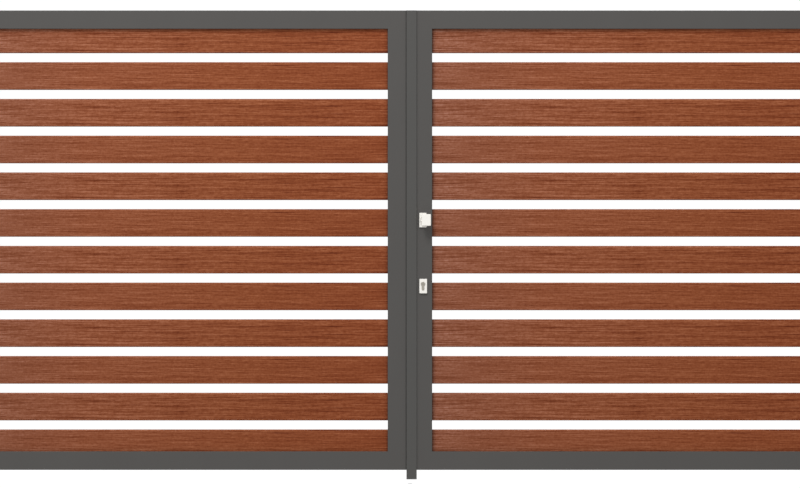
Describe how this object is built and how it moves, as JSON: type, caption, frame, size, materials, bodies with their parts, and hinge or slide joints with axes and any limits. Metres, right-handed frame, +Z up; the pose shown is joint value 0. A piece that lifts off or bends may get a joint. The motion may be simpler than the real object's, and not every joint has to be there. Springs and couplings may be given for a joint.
{
  "type": "double-leaf garden gate",
  "caption": "Double-leaf garden gate with horizontal wood-effect slats in flat metal frames, a central closing strip, a pull knob and a key lock.",
  "frame": {"origin": "centre of the floor socket on the finished ground, on the meeting line of the leaves and in their middle plane", "axes": "+X along the closed gate to the leaf with the knob, +Y into the garden (the way the leaves open), +Z up"},
  "size_m": [3.6, 0.183, 1.975],
  "materials": {
    "frame_coat": "fine-textured powder coat, warm dark grey",
    "wood_effect": "wood-effect sublimated powder coat, red-brown",
    "strip_pvc": "flexible profile in the colour of the frame",
    "satin_white": "satin, near white",
    "stainless": "brushed",
    "zinc_steel": "zinc plated",
    "hinge_coat": "powder-coated steel",
    "bare_aluminium": "as cast",
    "nickel_brass": "nickel-plated",
    "black_nylon": "moulded"
  },
  "bodies": {
    "pillar_fixings": {"left_pillar_brackets": "hinge_coat", "right_pillar_brackets": "hinge_coat", "floor_socket": "zinc_steel"},
    "left_leaf": {"left_top_rail": "frame_coat", "left_bottom_rail": "frame_coat", "left_hinge_stile": "frame_coat", "left_meeting_stile": "frame_coat", "left_slat_01": "wood_effect", "left_slat_02": "wood_effect", "left_slat_03": "wood_effect", "left_slat_04": "wood_effect", "left_slat_05": "wood_effect", "left_slat_06": "wood_effect", "left_slat_07": "wood_effect", "left_slat_08": "wood_effect", "left_slat_09": "wood_effect", "left_slat_10": "wood_effect", "left_slat_11": "wood_effect", "left_slat_12": "wood_effect", "left_corner_cleats": "bare_aluminium", "left_hinge_plates": "hinge_coat", "left_hinge_bushes": "black_nylon", "closing_profile": "frame_coat", "closing_strip": "strip_pvc", "strike_plate": "stainless", "drop_bolt_guides": "black_nylon"},
    "drop_bolt": {"drop_bolt": "zinc_steel"},
    "right_leaf": {"right_top_rail": "frame_coat", "right_bottom_rail": "frame_coat", "right_hinge_stile": "frame_coat", "right_meeting_stile": "frame_coat", "right_slat_01": "wood_effect", "right_slat_02": "wood_effect", "right_slat_03": "wood_effect", "right_slat_04": "wood_effect", "right_slat_05": "wood_effect", "right_slat_06": "wood_effect", "right_slat_07": "wood_effect", "right_slat_08": "wood_effect", "right_slat_09": "wood_effect", "right_slat_10": "wood_effect", "right_slat_11": "wood_effect", "right_slat_12": "wood_effect", "right_corner_cleats": "bare_aluminium", "right_hinge_plates": "hinge_coat", "right_hinge_bushes": "black_nylon", "lock_case": "zinc_steel", "lock_faceplate": "stainless", "outer_rosette": "satin_white", "outer_knob": "satin_white", "outer_escutcheon": "satin_white", "inner_rosette": "satin_white", "inner_escutcheon": "satin_white", "cylinder_body": "nickel_brass"},
    "inner_handle": {"inner_lever": "satin_white", "handle_spindle": "zinc_steel", "lock_hub": "zinc_steel"},
    "latch": {"latch_bolt": "stainless"},
    "cylinder_plug": {"cylinder_plug": "nickel_brass"},
    "deadbolt": {"deadbolt": "stainless"}
  },
  "joints": [
    {"name": "left_leaf_swing", "type": "hinge", "parent": "pillar_fixings", "child": "left_leaf", "pos_m": [-1.776, 0.045, 0.305], "axis": [0, 0, 1], "range_deg": [0, 95], "deforming": ["closing_strip"]},
    {"name": "right_leaf_swing", "type": "hinge", "parent": "pillar_fixings", "child": "right_leaf", "pos_m": [1.776, 0.045, 0.305], "axis": [0, 0, -1], "range_deg": [0, 95]},
    {"name": "drop_bolt_slide", "type": "slide", "parent": "left_leaf", "child": "drop_bolt", "axis": [0, 0, -1], "range_m": [0, 0.11]},
    {"name": "handle_lift", "type": "hinge", "parent": "right_leaf", "child": "inner_handle", "pos_m": [0.05, 0, 1.0335], "axis": [0, -1, 0], "range_deg": [0, 40]},
    {"name": "latch_throw", "type": "slide", "parent": "right_leaf", "child": "latch", "axis": [-1, 0, 0], "range_m": [0, 0.0121]},
    {"name": "key_turn", "type": "hinge", "parent": "right_leaf", "child": "cylinder_plug", "pos_m": [0.051, 0, 0.783], "axis": [0, 1, 0], "range_deg": [0, 360]},
    {"name": "deadbolt_throw", "type": "slide", "parent": "right_leaf", "child": "deadbolt", "axis": [-1, 0, 0], "range_m": [0, 0.0161]}
  ],
  "couplings": [
    {"joint": "latch_throw", "follows": "handle_lift", "m_per_rad": 0.017189},
    {"joint": "deadbolt_throw", "follows": "key_turn", "m_per_rad": 0.0025465}
  ]
}
